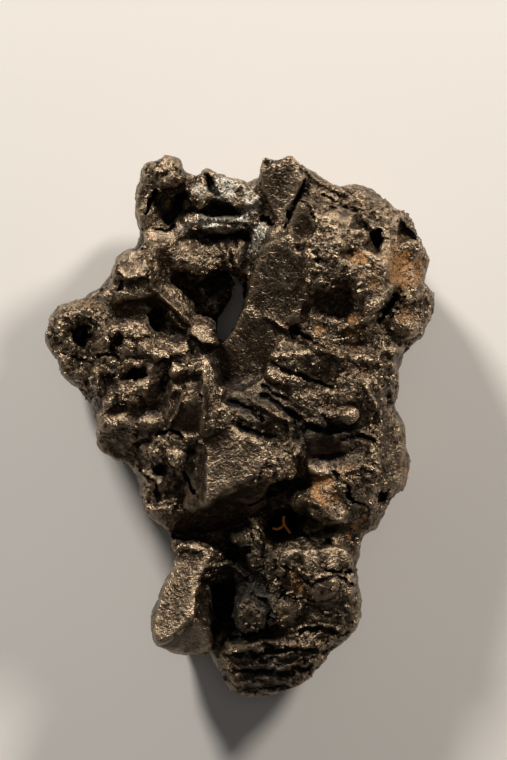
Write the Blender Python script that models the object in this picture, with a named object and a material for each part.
# An acanthite specimen: a mass of grown-together silver sulphide crystals, 39 x 54 mm, lying on its broken back.
# The model's frame is metres with +Z up. +Z is the side that is shown, and the specimen's long way runs along Y.
# Plan positions below are in tenths of a millimetre on a drawing sheet, x to the right and y down.
# Heights are in tenths of a millimetre above the plane that the specimen rests on.

import math

import bmesh
import bpy
import numpy as np
from mathutils import Matrix, Vector, noise
from mathutils.bvhtree import BVHTree

TENTH = 0.0001
SHEET_MIDDLE = (238.5, 429.0)
FIRST_VOXEL = 4.5
FINE_VOXEL = 3.2
BASE_CUT = 23.0
WAIST = 88.0
BARREL = 80.0
BULGE = 24.0
TRIANGLES = 9250
SHOWN_CARE = 4e-9
SEED = 41

# The specimen's edge as it is seen from the shown side, clockwise from the knob at the upper left.
EDGE = [
    (145, 166), (148, 163), (158, 158), (178, 158), (185, 168), (187, 177), (195, 181), (204, 173), (211, 172),
    (222, 177), (237, 182), (248, 190), (258, 192), (259, 188), (260, 173), (262, 158), (267, 157), (272, 160),
    (278, 162), (285, 157), (294, 162), (304, 171), (315, 181), (326, 185), (345, 185), (360, 186), (372, 190),
    (380, 197), (388, 205), (400, 210), (408, 217), (413, 225), (417, 238), (421, 243), (425, 252), (426, 262),
    (422, 271), (422, 281), (430, 290), (433, 300), (434, 307), (432, 320), (424, 334), (418, 339), (408, 343),
    (405, 348), (407, 358), (400, 366), (400, 384), (396, 399), (391, 404), (391, 408), (397, 415), (402, 425),
    (405, 440), (406, 458), (405, 480), (398, 497), (390, 503), (385, 512), (378, 522), (370, 531), (360, 540),
    (358, 548), (359, 575), (360, 590), (358, 617), (356, 632), (345, 641), (333, 647), (326, 658), (318, 672),
    (304, 684), (290, 691), (275, 696), (255, 701), (243, 700), (232, 697), (225, 690), (216, 669), (213, 656),
    (193, 656), (175, 656), (163, 652), (155, 648), (151, 640), (151, 628), (153, 615), (158, 602), (160, 592),
    (163, 582), (170, 570), (176, 560), (180, 548), (181, 539), (170, 532), (152, 521), (145, 510), (141, 492),
    (135, 474), (130, 463), (115, 462), (104, 458), (97, 450), (92, 438), (92, 432), (98, 421), (104, 412),
    (97, 404), (85, 395), (72, 388), (58, 371), (48, 355), (44, 338), (44, 325), (47, 313), (53, 307), (62, 303),
    (80, 301), (97, 303), (103, 296), (106, 288), (111, 270), (119, 257), (128, 250), (150, 251), (143, 240),
    (140, 231), (133, 223), (129, 212), (132, 202), (137, 188), (143, 180), (143, 173),
]

# Where the side stands out furthest high above the base: x, y, reach, height.
HIGH_WAISTS = [
    (280, 190, 44, 140), (165, 172, 26, 128), (212, 196, 38, 116), (190, 256, 40, 112), (176, 600, 34, 104),
    (418, 306, 30, 110),
]

# The long gap that goes right through below the second arm, and the small one beside the arm's flat end.
LONG_GAP = [
    (239, 280), (244, 300), (241, 310), (234, 325), (228, 337), (220, 348), (216, 330), (217, 316), (227, 302),
]
SMALL_GAP = [(244, 233), (251, 231), (251, 238), (246, 241)]

# The bulk of the specimen: rounded masses as x, y, z, half width, half length, half height, turn.
MASSES = [
    (328, 262, 100, 84, 78, 100, -20),
    (368, 252, 92, 55, 64, 84, -30),
    (305, 222, 95, 44, 40, 84, 0),
    (345, 216, 85, 60, 32, 66, -12),
    (282, 290, 85, 36, 62, 82, 12),
    (397, 306, 100, 37, 46, 66, 0),
    (365, 345, 88, 44, 42, 82, 0),
    (300, 372, 88, 62, 50, 92, 0),
    (262, 360, 70, 46, 48, 82, 25),
    (342, 388, 88, 60, 50, 92, 0),
    (248, 398, 85, 50, 45, 86, 0),
    (300, 432, 82, 55, 45, 86, 0),
    (350, 430, 80, 50, 62, 82, 0),
    (378, 455, 75, 30, 62, 62, 0),
    (345, 480, 82, 56, 46, 86, 0),
    (335, 512, 72, 52, 34, 72, 35),
    (112, 302, 90, 30, 30, 66, 0),
    (76, 338, 80, 34, 38, 60, 0),
    (84, 372, 72, 36, 28, 52, -30),
    (122, 338, 85, 46, 42, 78, 0),
    (160, 325, 68, 32, 38, 72, 0),
    (142, 378, 82, 52, 42, 84, 0),
    (192, 366, 80, 28, 32, 80, 0),
    (120, 405, 80, 26, 28, 66, 0),
    (126, 437, 75, 36, 26, 58, 0),
    (168, 442, 78, 36, 40, 78, 0),
    (172, 482, 72, 38, 44, 72, 0),
    (160, 506, 60, 26, 24, 52, 0),
    (196, 505, 66, 46, 34, 62, 0),
    (232, 460, 85, 44, 44, 82, 0),
    (225, 482, 76, 44, 38, 80, 0),
    (250, 512, 55, 62, 34, 56, 0),
    (300, 500, 66, 46, 46, 66, 0),
    (302, 560, 70, 60, 40, 72, 0),
    (240, 570, 50, 50, 42, 50, 0),
    (324, 596, 72, 36, 54, 70, 0),
    (282, 602, 70, 56, 50, 68, 0),
    (228, 610, 48, 42, 44, 46, 0),
    (266, 658, 60, 56, 44, 58, 0),
    (304, 640, 65, 50, 44, 58, 0),
    (204, 560, 66, 34, 28, 56, 0),
    (188, 236, 62, 58, 44, 38, 0),
    (186, 205, 62, 44, 26, 36, 0),
    (160, 275, 62, 46, 34, 44, 0),
    (198, 308, 46, 38, 42, 34, 0),
    (262, 315, 76, 27, 52, 62, 10),
    (230, 368, 70, 26, 34, 56, 30),
]

# Lumps on the shown side, with the same numbers.
LUMPS = [
    (165, 173, 132, 22, 16, 28, 0),
    (181, 174, 128, 8, 11, 16, 0),
    (150, 193, 118, 15, 15, 28, 20),
    (146, 214, 108, 15, 17, 32, 0),
    (150, 230, 104, 11, 8, 22, 0),
    (192, 193, 116, 13, 13, 24, 0),
    (232, 194, 118, 26, 14, 26, 14),
    (210, 198, 112, 24, 10, 24, 0),
    (256, 204, 116, 20, 14, 26, 0),
    (224, 221, 108, 34, 8, 20, 2),
    (188, 227, 106, 22, 11, 24, 0),
    (260, 228, 112, 13, 14, 24, 0),
    (254, 246, 104, 7, 14, 18, -10),
    (164, 256, 112, 28, 18, 34, -6),
    (190, 258, 112, 24, 20, 34, 0),
    (214, 258, 110, 24, 20, 32, 0),
    (104, 290, 110, 14, 16, 36, 0),
    (112, 305, 118, 16, 12, 30, 0),
    (136, 328, 124, 14, 14, 32, 0),
    (172, 322, 108, 16, 18, 34, 0),
    (152, 352, 130, 26, 13, 36, 0),
    (120, 350, 118, 20, 14, 40, 0),
    (60, 330, 92, 16, 28, 52, 0),
    (86, 312, 100, 22, 12, 44, 0),
    (70, 358, 92, 24, 16, 46, -30),
    (100, 382, 110, 9, 26, 40, 8),
    (122, 398, 120, 22, 13, 30, 0),
    (128, 420, 112, 32, 13, 34, 0),
    (110, 428, 104, 16, 14, 36, 0),
    (208, 334, 120, 20, 12, 36, -30),
    (160, 445, 130, 18, 14, 32, 0),
    (182, 458, 130, 14, 18, 32, 0),
    (152, 482, 108, 14, 22, 38, 0),
    (282, 460, 140, 13, 15, 36, 0),
    (290, 436, 142, 14, 22, 36, 0),
    (345, 416, 140, 16, 16, 34, 0),
    (368, 398, 142, 14, 20, 34, -20),
    (346, 360, 148, 44, 12, 32, -12),
    (300, 352, 150, 40, 9, 32, 24),
    (352, 334, 150, 32, 12, 30, -18),
    (392, 448, 90, 14, 46, 58, 0),
    (328, 488, 138, 36, 12, 34, -8),
    (320, 506, 126, 30, 12, 34, 30),
    (360, 462, 130, 22, 18, 40, 0),
    (365, 520, 90, 16, 18, 48, 0),
    (242, 530, 98, 20, 14, 36, 0),
    (268, 556, 100, 28, 20, 36, 0),
    (306, 560, 118, 15, 24, 34, 0),
    (336, 556, 112, 18, 16, 34, 0),
    (346, 590, 104, 16, 20, 38, 0),
    (225, 572, 86, 28, 11, 30, 18),
    (250, 614, 92, 19, 19, 34, 0),
    (282, 618, 118, 18, 11, 24, 0),
    (342, 620, 100, 16, 18, 38, 0),
    (240, 652, 88, 24, 13, 30, -14),
    (276, 668, 84, 34, 22, 30, 0),
    (244, 684, 64, 20, 14, 34, 0),
    (206, 606, 78, 9, 26, 34, -14),
]

# Crystals with flat faces: x, y, z, half width, half length, half height, turn, tilt to the side, tilt forward,
# and how far the corners are cut back.
CRYSTALS = [
    (280, 200, 100, 19, 40, 52, -6, 24, -8, 0.55),
    (266, 176, 112, 6, 20, 22, 2, 10, 0, 0.6),
    (290, 180, 108, 10, 24, 30, -8, 0, 0, 0.5),
    (322, 200, 100, 30, 14, 46, 18, 0, -12, 0.5),
    (302, 224, 122, 17, 22, 54, 4, 0, 18, 0.62),
    (133, 270, 118, 19, 20, 46, -8, 8, -6, 0.55),
    (168, 300, 96, 12, 30, 44, -42, 0, 0, 0.6),
    (160, 238, 104, 16, 8, 26, 0, 0, 0, 0.7),
    (210, 186, 116, 10, 13, 26, 10, 0, 14, 0.55),
    (240, 259, 106, 9, 20, 26, -6, 0, 0, 0.7),
    (194, 405, 116, 19, 30, 60, -4, 0, 14, 0.5),
    (208, 390, 122, 8, 34, 58, -4, -16, 0, 0.6),
    (236, 462, 118, 36, 30, 52, 10, 0, 10, 0.6),
    (322, 584, 116, 14, 16, 34, 20, 10, 10, 0.6),
    (180, 594, 80, 25, 56, 58, 14, -12, 0, 0.72),
    (176, 640, 62, 26, 18, 44, 4, 0, 0, 0.7),
    (378, 292, 130, 24, 22, 44, 30, 0, 0, 0.5),
    (396, 260, 104, 26, 26, 56, 12, 0, 0, 0.5),
    (378, 222, 100, 26, 22, 52, 30, 0, 0, 0.5),
    (340, 236, 140, 34, 22, 50, -10, 0, 0, 0.55),
    (355, 280, 140, 30, 24, 54, 10, 0, 0, 0.55),
    (250, 420, 130, 30, 18, 44, 22, 0, 0, 0.5),
    (240, 390, 122, 26, 18, 46, 22, 0, 0, 0.5),
    (298, 400, 132, 40, 15, 46, 22, 0, 0, 0.5),
    (316, 640, 80, 24, 20, 44, 20, 0, 0, 0.6),
]

# Flat faces on the shown side: the outline of each, how fast it rises to the right and down the sheet, how far
# it stands out of the skin there, and how much of the lumpy skin it takes away.
FACES = [
    # the forked crystal, the six-sided face beside its crack and the long slope down to the middle
    ([(263, 160), (297, 168), (303, 183), (283, 230), (275, 224), (262, 192)], 0.35, -0.1, 2, 0.95),
    ([(300, 201), (313, 219), (315, 241), (298, 245), (286, 233), (288, 218)], 0.5, -0.35, 0, 0.95),
    ([(290, 236), (302, 256), (304, 300), (298, 322), (276, 332), (265, 348), (262, 378), (240, 392), (218, 384),
      (213, 354), (228, 335), (243, 306), (248, 284), (262, 246)], 0.42, -0.2, 2, 0.9),
    # the tongue, its left side and its underside
    ([(212, 436), (230, 423), (252, 438), (272, 452), (263, 468), (250, 477), (229, 487), (213, 502), (203, 505),
      (203, 470)], 0.05, 0.08, 3, 0.9),
    ([(196, 452), (206, 440), (206, 506), (182, 508), (192, 480)], 0.5, -0.25, 0, 0.7),
    ([(150, 506), (203, 511), (229, 493), (264, 478), (266, 500), (240, 528), (182, 540), (160, 530)],
     -0.1, -1.3, 0, 0.85),
    # the crystal at the lower left: its lit face, its lower face and the side towards the hollow
    ([(182, 548), (213, 548), (205, 570), (198, 580), (197, 612), (186, 626), (170, 637), (157, 643), (151, 632),
      (154, 614), (162, 582)], 0.42, 0.28, 0, 0.97),
    ([(158, 646), (187, 629), (198, 616), (212, 640), (211, 658), (172, 658)], -0.2, -1.3, 0, 0.9),
    ([(199, 582), (212, 578), (218, 600), (219, 634), (199, 614)], -1.0, -0.3, -2, 0.7),
    # the prism: its shaded face, the edge to the left, the bright side to the right and the top
    ([(184, 402), (202, 390), (203, 430), (196, 434), (174, 427)], 0.35, -0.8, 0, 0.9),
    ([(172, 392), (184, 386), (183, 400), (172, 424), (164, 416)], 0.5, 0.35, 0, 0.8),
    ([(205, 356), (217, 362), (219, 400), (214, 424), (205, 430)], -0.7, 0.2, 2, 0.85),
    ([(172, 380), (198, 376), (203, 384), (186, 392), (172, 394)], 0.0, 0.7, 2, 0.7),
    # the second arm: its flat end, its top and its lower side
    ([(237, 240), (247, 243), (250, 268), (242, 281), (238, 262)], -0.9, -0.1, 0, 0.9),
    ([(178, 240), (236, 238), (236, 250), (205, 252), (176, 252)], 0.0, 0.75, 2, 0.7),
    ([(160, 262), (200, 256), (214, 272), (196, 280), (172, 280)], 0.2, -0.5, 0, 0.6),
    # the bright bridge and its bars, and the smooth block beside them
    ([(186, 190), (204, 180), (222, 180), (250, 188), (262, 206), (250, 211), (222, 206), (196, 204)],
     0.0, 0.5, 3, 0.6),
    ([(186, 216), (225, 215), (262, 216), (262, 227), (225, 228), (190, 228)], 0.0, 0.5, 8, 0.7),
    ([(146, 232), (175, 231), (174, 244), (144, 245)], 0.0, 0.3, 2, 0.9),
    ([(142, 188), (153, 190), (147, 207), (142, 222), (133, 214), (136, 198)], 0.8, 0.1, 0, 0.7),
    # the lobes at the left
    ([(118, 256), (140, 250), (152, 262), (150, 280), (125, 284), (111, 272)], 0.15, 0.75, 2, 0.8),
    ([(112, 288), (150, 285), (154, 296), (120, 302)], 0.1, 0.6, 1, 0.6),
    ([(104, 305), (150, 300), (156, 316), (130, 318), (108, 322)], 0.1, -0.7, 0, 0.7),
    ([(126, 320), (148, 320), (152, 336), (128, 338)], 0.2, 0.3, 3, 0.7),
    ([(108, 340), (130, 340), (150, 346), (140, 358), (112, 356)], 0.25, -0.6, 0, 0.6),
    ([(192, 325), (206, 322), (220, 338), (217, 347), (202, 343), (189, 335)], -0.3, 0.55, 4, 0.9),
    ([(150, 342), (190, 340), (192, 352), (156, 362)], 0.1, 0.5, 2, 0.7),
    ([(97, 414), (118, 404), (158, 412), (160, 426), (105, 432)], 0.1, 0.6, 2, 0.7),
    ([(95, 438), (128, 436), (130, 458), (112, 462), (98, 452)], 0.3, -0.9, 0, 0.7),
    # the domed mass at the right: its upper edge, the hollow face, the shelf before it and the side lobe
    ([(312, 190), (350, 188), (385, 202), (412, 228), (400, 230), (352, 214), (314, 208)], -0.1, 0.55, 0, 0.7),
    ([(302, 288), (322, 278), (340, 282), (368, 290), (362, 318), (340, 326), (308, 322)], 0.1, -0.5, 6, 0.7),
    ([(266, 296), (300, 290), (300, 318), (280, 328), (262, 318)], 0.3, 0.1, 3, 0.6),
    ([(368, 280), (392, 286), (376, 312), (362, 318)], 0.2, 0.3, 1, 0.7),
    ([(402, 306), (430, 292), (430, 318), (408, 336), (386, 330)], -0.4, 0.4, 1, 0.7),
    ([(318, 346), (352, 342), (398, 344), (396, 356), (350, 360), (330, 358)], 0.0, 0.7, 2, 0.7),
    ([(336, 380), (366, 378), (360, 400), (340, 398)], 0.1, 0.5, 2, 0.7),
    # the smooth bowl, the crescent behind it and the shelves below
    ([(304, 430), (346, 432), (350, 452), (310, 456)], 0.1, -0.55, 4, 0.8),
    ([(304, 458), (348, 454), (344, 476), (308, 472)], 0.0, 0.35, 4, 0.7),
    ([(384, 412), (398, 418), (404, 450), (402, 482), (388, 500), (384, 460)], -0.8, 0.1, 0, 0.8),
    ([(344, 450), (372, 446), (382, 470), (352, 478)], 0.0, 0.5, 1, 0.6),
    ([(302, 496), (320, 492), (350, 512), (340, 520), (318, 512)], 0.0, 0.9, 3, 0.8),
    # the column at the lower right and the foot
    ([(300, 548), (318, 545), (320, 566), (304, 578)], 0.2, 0.4, 2, 0.8),
    ([(312, 572), (328, 572), (330, 596), (312, 598)], 0.0, -0.6, 0, 0.8),
    ([(322, 550), (348, 550), (350, 564), (324, 566)], 0.0, 0.6, 2, 0.7),
    ([(228, 642), (262, 630), (290, 634), (288, 640), (262, 644), (232, 652)], 0.0, 0.9, 2, 0.7),
    ([(222, 656), (262, 648), (320, 650), (310, 680), (270, 694), (232, 684)], 0.0, -0.55, 0, 0.6),
]

# Hollows on the shown side: x, y, half width, half length, turn, depth, steepness of the wall from 0 to 1.
HOLLOWS = [
    (170, 206, 10, 12, 0, 22, 0.6),
    (152, 204, 4, 15, 26, 18, 0.5),
    (152, 246, 7, 5, 0, 14, 0.5),
    (84, 336, 13, 14, 0, 36, 0.6),
    (156, 322, 7, 12, 0, 26, 0.5),
    (120, 344, 11, 9, 0, 22, 0.5),
    (132, 378, 18, 10, 0, 34, 0.5),
    (160, 386, 10, 14, 0, 26, 0.5),
    (335, 307, 28, 18, 0, 14, 0.3),
    (308, 341, 10, 4, 20, 16, 0.5),
    (357, 225, 9, 8, 0, 20, 0.6),
    (373, 246, 5, 13, 0, 22, 0.6),
    (405, 236, 9, 9, -40, 22, 0.6),
    (345, 257, 6, 4, 0, 14, 0.5),
    (314, 260, 6, 7, 0, 14, 0.5),
    (386, 398, 7, 11, 0, 36, 0.6),
    (330, 423, 6, 5, 0, 18, 0.6),
    (326, 448, 26, 22, 0, 16, 0.2),
    (377, 494, 9, 9, 0, 26, 0.5),
    (282, 522, 17, 18, 0, 52, 0.6),
    (225, 602, 14, 27, 0, 34, 0.4),
    (218, 590, 9, 20, -10, 16, 0.4),
    (194, 451, 7, 8, 0, 24, 0.5),
    (160, 466, 8, 8, 0, 18, 0.5),
    (351, 582, 5, 5, 0, 12, 0.5),
    (115, 452, 17, 7, 0, 20, 0.4),
    (146, 440, 16, 5, 0, 26, 0.5),
]

# Cracks and grooves: width, depth and the points they run through.
GROOVES = [
    (8, 46, [(304, 185), (296, 204), (287, 220), (282, 229)]),
    (10, 46, [(396, 293), (386, 307), (377, 323)]),
    (5, 14, [(403, 299), (394, 310), (387, 320)]),
    (9, 30, [(188, 210), (216, 211), (246, 214)]),
    (6, 24, [(202, 237), (222, 235), (242, 231)]),
    (9, 20, [(262, 222), (268, 222), (274, 226)]),
    (8, 24, [(100, 356), (112, 354), (122, 360)]),
    (8, 22, [(160, 432), (172, 430), (182, 436)]),
    (9, 16, [(230, 424), (252, 431), (282, 442)]),
    (8, 16, [(262, 395), (290, 412), (318, 430)]),
    (8, 12, [(270, 368), (300, 380), (335, 372), (372, 366)]),
    (8, 18, [(320, 566), (336, 572), (352, 572)]),
    (8, 16, [(262, 586), (286, 594), (312, 600)]),
    (10, 22, [(228, 640), (246, 636), (262, 628)]),
    (8, 14, [(60, 350), (84, 358), (98, 362)]),
]

# Sharp crests: width, height and the points they run through.
CRESTS = [
    (14, 10, [(153, 288), (168, 302), (190, 322)]),
    (12, 10, [(102, 366), (98, 392), (92, 404)]),
    (12, 10, [(183, 398), (176, 414), (170, 426)]),
    (10, 10, [(204, 386), (206, 410), (204, 430)]),
    (14, 12, [(266, 318), (290, 334), (318, 350), (340, 358)]),
    (12, 10, [(338, 330), (352, 326), (372, 318)]),
    (12, 10, [(362, 384), (370, 398), (377, 412)]),
    (12, 10, [(300, 496), (318, 503), (336, 518)]),
    (12, 9, [(254, 402), (272, 412), (292, 420)]),
    (12, 9, [(228, 652), (246, 647), (262, 640), (277, 642)]),
    (12, 10, [(210, 566), (230, 562), (246, 576)]),
    (12, 9, [(300, 424), (312, 420), (325, 424)]),
]


def clear_scene():
    for obj in list(bpy.data.objects):
        bpy.data.objects.remove(obj, do_unlink=True)


def placed(x, y, z):
    """A plan position and height in tenths of a millimetre as metres in the model's frame."""
    return Vector(((x - SHEET_MIDDLE[0]) * TENTH, (SHEET_MIDDLE[1] - y) * TENTH, z * TENTH))


def form_matrix(x, y, z, half, turn, side=0.0, forward=0.0):
    turned = Matrix.Rotation(math.radians(-turn), 4, "Z")
    turned = turned @ Matrix.Rotation(math.radians(side), 4, "Y") @ Matrix.Rotation(math.radians(forward), 4, "X")
    return Matrix.Translation(placed(x, y, z)) @ turned @ Matrix.Diagonal((*(h * TENTH for h in half), 1.0))


def add_mass(bm, x, y, z, half_x, half_y, half_z, turn):
    matrix = form_matrix(x, y, z, (half_x, half_y, half_z), turn)
    bmesh.ops.create_icosphere(bm, subdivisions=3, radius=1.0, matrix=matrix)


def crystal_corners(cut):
    """Corners of a cube whose eight corners are cut back, as these crystals grow."""
    corners = []
    for sx in (-1, 1):
        for sy in (-1, 1):
            for sz in (-1, 1):
                corners += [(sx * cut, sy, sz), (sx, sy * cut, sz), (sx, sy, sz * cut)]
    return corners


def add_crystal(bm, x, y, z, half_x, half_y, half_z, turn, side, forward, cut):
    matrix = form_matrix(x, y, z, (half_x, half_y, half_z), turn, side, forward)
    verts = [bm.verts.new(matrix @ Vector(c)) for c in crystal_corners(cut)]
    bmesh.ops.convex_hull(bm, input=verts)


def add_lump(bm, rng, x, y, z, half_x, half_y, half_z, turn):
    """A lump is a blunt crystal with its corners showing through a rounder skin."""
    add_mass(bm, x, y, z, half_x * 0.93, half_y * 0.93, half_z * 0.93, turn)
    leans = rng.uniform(-16, 16, 2)
    halves = (half_x * 0.8, half_y * 0.8, half_z * 0.84)
    add_crystal(bm, x, y, z, *halves, turn + rng.uniform(-14, 14), leans[0], leans[1], 0.6)


def scatter_back_crystals(bm, rng):
    """Small crystals crowd the sides and the back, where nothing of them is seen from the shown side."""
    for x, y, z, half_x, half_y, half_z, turn in MASSES:
        for _ in range(5):
            around = rng.uniform(0, 2 * math.pi)
            down = rng.uniform(-0.9, 0.15)
            flat = math.sqrt(1 - down * down)
            c, s = math.cos(math.radians(turn)), math.sin(math.radians(turn))
            u, v = flat * math.cos(around) * half_x * 0.84, flat * math.sin(around) * half_y * 0.84
            size = rng.uniform(9, 20)
            where = (x + u * c - v * s, y + u * s + v * c, z + down * half_z * 0.84)
            half = (size, size * rng.uniform(0.7, 1.2), size * rng.uniform(0.8, 1.3))
            add_crystal(bm, *where, *half, *(rng.uniform(0, 90) for _ in range(3)), rng.uniform(0.45, 0.75))


def mesh_object(name, bm):
    bm.normal_update()
    mesh = bpy.data.meshes.new(name)
    bm.to_mesh(mesh)
    bm.free()
    obj = bpy.data.objects.new(name, mesh)
    bpy.context.scene.collection.objects.link(obj)
    return obj


def apply_modifiers(obj):
    graph = bpy.context.evaluated_depsgraph_get()
    mesh = bpy.data.meshes.new_from_object(obj.evaluated_get(graph), depsgraph=graph)
    obj.modifiers.clear()
    obj.data = mesh


def remeshed(obj, voxel):
    modifier = obj.modifiers.new("fuse", "REMESH")
    modifier.mode = "VOXEL"
    modifier.voxel_size = voxel * TENTH
    apply_modifiers(obj)


def largest_body(obj):
    """Drops closed pockets and crumbs, so that one body is left."""
    bm = bmesh.new()
    bm.from_mesh(obj.data)
    bm.verts.ensure_lookup_table()
    seen, bodies = set(), []
    for first in bm.verts:
        if first.index in seen:
            continue
        body, front = [], [first]
        seen.add(first.index)
        while front:
            vert = front.pop()
            body.append(vert)
            for edge in vert.link_edges:
                other = edge.other_vert(vert)
                if other.index not in seen:
                    seen.add(other.index)
                    front.append(other)
        bodies.append(body)
    bodies.sort(key=len)
    bmesh.ops.delete(bm, geom=[v for body in bodies[:-1] for v in body], context="VERTS")
    bm.to_mesh(obj.data)
    bm.free()


def prism(name, plan, low, high):
    bm = bmesh.new()
    face = bm.faces.new([bm.verts.new(placed(x, y, low)) for x, y in plan])
    face.normal_update()
    if face.normal.z > 0:
        face.normal_flip()
    made = bmesh.ops.extrude_face_region(bm, geom=[face])
    up = [v for v in made["geom"] if isinstance(v, bmesh.types.BMVert)]
    bmesh.ops.translate(bm, verts=up, vec=Vector((0, 0, (high - low) * TENTH)))
    bmesh.ops.recalc_face_normals(bm, faces=bm.faces)
    obj = mesh_object(name, bm)
    obj.hide_render = True
    obj.display_type = "WIRE"
    return obj


def cut_away(obj, cutter):
    modifier = obj.modifiers.new("cut", "BOOLEAN")
    modifier.operation = "DIFFERENCE"
    modifier.object = cutter
    apply_modifiers(obj)
    bpy.data.objects.remove(cutter, do_unlink=True)


def read_points(obj):
    """Vertex positions on the drawing sheet, in tenths of a millimetre."""
    points = np.empty(len(obj.data.vertices) * 3)
    obj.data.vertices.foreach_get("co", points)
    points = points.reshape(-1, 3) / TENTH
    points[:, 0] += SHEET_MIDDLE[0]
    points[:, 1] = SHEET_MIDDLE[1] - points[:, 1]
    return points


def write_points(obj, points):
    back = points.copy()
    back[:, 0] -= SHEET_MIDDLE[0]
    back[:, 1] = SHEET_MIDDLE[1] - back[:, 1]
    obj.data.vertices.foreach_set("co", (back * TENTH).ravel())
    obj.data.update()


def read_normals(obj):
    normals = np.empty(len(obj.data.vertices) * 3)
    obj.data.vertices.foreach_get("normal", normals)
    return normals.reshape(-1, 3)


def seen_from_above(obj):
    """1 for each vertex with nothing above it, 0 for the others."""
    bm = bmesh.new()
    bm.from_mesh(obj.data)
    tree = BVHTree.FromBMesh(bm)
    up = Vector((0, 0, 1))
    seen = [0.0 if tree.ray_cast(v.co + up * 2e-5, up)[0] else 1.0 for v in bm.verts]
    bm.free()
    return np.array(seen)


def edge_distance(points, plan):
    """Signed distance to a closed plan outline, negative inside, and the nearest place on it."""
    ring = np.array(plan, float)
    ends = np.roll(ring, -1, axis=0)
    best = np.full(len(points), 1e9)
    near = np.zeros((len(points), 2))
    inside = np.zeros(len(points), bool)
    x, y = points[:, 0], points[:, 1]
    for a, b in zip(ring, ends):
        along = b - a
        share = np.clip(((x - a[0]) * along[0] + (y - a[1]) * along[1]) / (along @ along), 0, 1)
        at = a + share[:, None] * along
        gap = np.hypot(x - at[:, 0], y - at[:, 1])
        nearer = gap < best
        best[nearer] = gap[nearer]
        near[nearer] = at[nearer]
        if a[1] != b[1]:
            inside ^= ((a[1] > y) != (b[1] > y)) & (x < a[0] + (y - a[1]) * (b[0] - a[0]) / (b[1] - a[1]))
    return np.where(inside, -best, best), near


def waist_height(points):
    """Height at which the specimen's side stands out furthest, varied along the side as on a natural lump."""
    height = np.array([WAIST + 24.0 * noise.noise(Vector((x / 52, y / 52, 1.3))) for x, y, _ in points])
    for x, y, reach, level in HIGH_WAISTS:
        near = eased(1.6 - np.hypot(points[:, 0] - x, points[:, 1] - y) / reach)
        height += (level - height) * near
    return height


def fit_to_edge(points, normals, plan, barrel):
    """Draws in what stands out of the outline, most of all far from the waist, and brings the waist out to it."""
    distance, near = edge_distance(points, plan)
    off = (points[:, 2] - waist_height(points)) / BARREL
    uneven = np.array([1.0 + 0.9 * noise.noise(Vector((x / 30, y / 30, z / 45))) for x, y, z in points])
    inset = 1.0 + BULGE * barrel * np.minimum(off * off, 1.6) * uneven
    wanted = np.where(distance > -inset, -inset + np.tanh((distance + inset) / 4.0), distance)
    sideways = np.clip(1.4 * (1 - np.abs(normals[:, 2])), 0, 1) * eased(1.5 - np.abs(off) * 3)
    close = np.clip(1 + distance / 9.0, 0, 1)
    wanted += np.where(distance < 0, -distance * 0.9 * sideways * np.sqrt(close), 0)
    wanted = np.minimum(wanted, 0.0)
    out = np.zeros((len(points), 2))
    apart = np.abs(distance) > 1e-6
    out[apart] = (points[apart, :2] - near[apart]) / distance[apart, None]
    points[:, :2] += out * (wanted - distance)[:, None]


def path_distance(points, path):
    best = np.full(len(points), 1e9)
    for a, b in zip(path[:-1], path[1:]):
        a, b = np.array(a, float), np.array(b, float)
        along = b - a
        share = np.clip(((points[:, :2] - a) @ along) / (along @ along), 0, 1)
        best = np.minimum(best, np.hypot(*(points[:, :2] - a - share[:, None] * along).T))
    return best


def eased(value):
    value = np.clip(value, 0, 1)
    return value * value * (3 - 2 * value)


def wandering(points, amount, size):
    """Plan positions moved by a smooth seeded noise, so that no hollow or crack has a ruled edge."""
    moves = [noise.noise_vector(Vector((x / size, y / size, 3.7)))[:2] for x, y, _ in points]
    moved = points.copy()
    moved[:, :2] += amount * np.array(moves)
    return moved


def flatten_faces(points, seen):
    """Seen is 1 where the skin may move and 0 where it stays. A face keeps the middling height of its place."""
    for outline, rise_right, rise_down, lift, strength in FACES:
        distance, _ = edge_distance(points, outline)
        middle = np.median(points[(distance < 0) & (seen > 0.5)], axis=0)
        level = middle[2] + lift
        level += (points[:, 0] - middle[0]) * rise_right + (points[:, 1] - middle[1]) * rise_down
        share = strength * seen * eased(0.5 - distance / 5.0)
        points[:, 2] += (level - points[:, 2]) * share


def press_hollows(points, seen):
    loose = wandering(points, 7.0, 13.0)
    for x, y, half_x, half_y, turn, depth, steep in HOLLOWS:
        c, s = math.cos(math.radians(turn)), math.sin(math.radians(turn))
        u = (loose[:, 0] - x) * c + (loose[:, 1] - y) * s
        v = (loose[:, 1] - y) * c - (loose[:, 0] - x) * s
        r = np.hypot(u / half_x, v / half_y)
        points[:, 2] -= depth * seen * eased((1.15 - r) / (1.15 - steep))


def press_grooves(points, seen):
    loose = wandering(points, 3.0, 11.0)
    for width, depth, path in GROOVES:
        away = path_distance(loose, path)
        points[:, 2] -= depth * seen * eased(1.2 - away / (width * 0.5))


def raise_crests(points, seen):
    loose = wandering(points, 3.0, 11.0)
    for width, height, path in CRESTS:
        away = path_distance(loose, path)
        points[:, 2] += height * seen * np.clip(1 - away / (width * 0.5), 0, 1)


def roughen(points, normals, amount, size, seed):
    """Uneven growth: the skin moves in and out by a seeded fractal."""
    shift = Vector((seed * 13.1, seed * 7.7, seed * 3.3))
    moves = [noise.fractal(Vector(p) / size + shift, 1.0, 2.1, 3) for p in points]
    outward = normals * np.array([1, -1, 1])
    points += outward * (amount * np.array(moves))[:, None]


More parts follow.
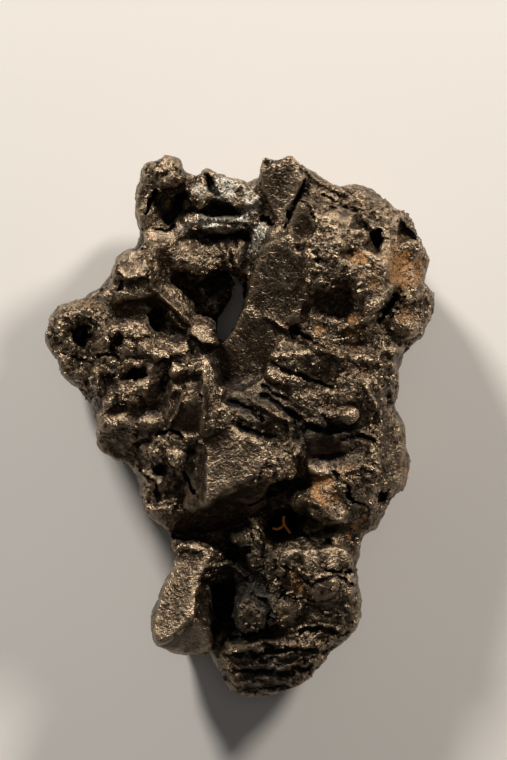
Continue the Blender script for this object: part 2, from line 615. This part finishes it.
def crowd(points, normals, amount, size, seed):
    """Blocky grains that crowd the skin: each swells in its middle and meets its neighbours in a crease."""
    shift = Vector((seed * 5.3, seed * 11.9, seed * 2.9))
    moves = []
    for p in points:
        near, _ = noise.voronoi(Vector(p) / size + shift, distance_metric="DISTANCE_SQUARED")
        moves.append(min(near[1] - near[0], 0.5) * 2 - 0.5)
    outward = normals * np.array([1, -1, 1])
    points += outward * (amount * np.array(moves))[:, None]


def cut_base(obj):
    """The broken back is flat where the specimen rests on it."""
    level = min(v.co.z for v in obj.data.vertices) / TENTH + BASE_CUT
    around = [(-100, 0), (600, 0), (600, 860), (-100, 860)]
    cut_away(obj, prism("base_cutter", around, level - 200, level))
    bm = bmesh.new()
    bm.from_mesh(obj.data)
    bmesh.ops.triangulate(bm, faces=[f for f in bm.faces if len(f.verts) > 3])
    bm.to_mesh(obj.data)
    bm.free()


def thin_out(obj, triangles):
    """Folds away the edges that carry least shape, a little sooner at the back and the undersides."""
    bm = bmesh.new()
    bm.from_mesh(obj.data)
    bmesh.ops.triangulate(bm, faces=bm.faces[:])
    count = len(bm.faces)
    bm.to_mesh(obj.data)
    bm.free()
    seen = seen_from_above(obj)
    group = obj.vertex_groups.new(name="hidden")
    group.add(np.flatnonzero(seen < 0.5).tolist(), 1.0, "REPLACE")
    group.add(np.flatnonzero(seen > 0.5).tolist(), 0.1, "REPLACE")
    modifier = obj.modifiers.new("thin", "DECIMATE")
    modifier.ratio = min(1.0, triangles / count)
    modifier.vertex_group = "hidden"
    modifier.vertex_group_factor = SHOWN_CARE
    modifier.use_collapse_triangulate = True
    apply_modifiers(obj)
    obj.vertex_groups.clear()


def centre(obj):
    """The origin is the middle of the bounding box's bottom."""
    corners = np.array([v.co[:] for v in obj.data.vertices])
    low, high = corners.min(axis=0), corners.max(axis=0)
    shift = Vector((-(low[0] + high[0]) / 2, -(low[1] + high[1]) / 2, -low[2]))
    obj.data.transform(Matrix.Translation(shift))


def acanthite_material():
    material = bpy.data.materials.new("acanthite")
    material.use_nodes = True
    shader = material.node_tree.nodes["Principled BSDF"]
    shader.inputs["Base Color"].default_value = (0.16, 0.14, 0.11, 1.0)
    shader.inputs["Metallic"].default_value = 0.85
    shader.inputs["Roughness"].default_value = 0.45
    return material


def make_specimen():
    rng = np.random.default_rng(SEED)
    bm = bmesh.new()
    for mass in MASSES:
        add_mass(bm, *mass)
    for lump in LUMPS:
        add_lump(bm, rng, *lump)
    for crystal in CRYSTALS:
        add_crystal(bm, *crystal)
    scatter_back_crystals(bm, rng)
    obj = mesh_object("acanthite", bm)
    remeshed(obj, FIRST_VOXEL)
    cut_away(obj, prism("long_gap_cutter", LONG_GAP, -60, 260))
    cut_away(obj, prism("small_gap_cutter", SMALL_GAP, -60, 260))
    remeshed(obj, FINE_VOXEL)
    largest_body(obj)
    points = read_points(obj)
    fit_to_edge(points, read_normals(obj), EDGE, 1.0)
    side = 1 - np.clip(read_normals(obj)[:, 2], 0, 1)
    crowd(points, read_normals(obj), 6.0 + 5.0 * side, 40.0, 1)
    crowd(points, read_normals(obj), 2.0 + 3.0 * side, 19.0, 2)
    roughen(points, read_normals(obj), 3.0, 30.0, 1)
    write_points(obj, points)
    fit_to_edge(points, read_normals(obj), EDGE, 0.25)
    write_points(obj, points)
    seen = seen_from_above(obj) * eased(read_normals(obj)[:, 2] * 4 + 0.3)
    flatten_faces(points, seen)
    press_hollows(points, seen)
    press_grooves(points, seen)
    raise_crests(points, seen)
    write_points(obj, points)
    remeshed(obj, FINE_VOXEL)
    cut_away(obj, prism("long_gap_cutter", LONG_GAP, -60, 260))
    largest_body(obj)
    thin_out(obj, TRIANGLES)
    cut_base(obj)
    centre(obj)
    obj.data.materials.clear()
    obj.data.materials.append(acanthite_material())
    obj.data.shade_flat()
    return obj


clear_scene()
make_specimen()
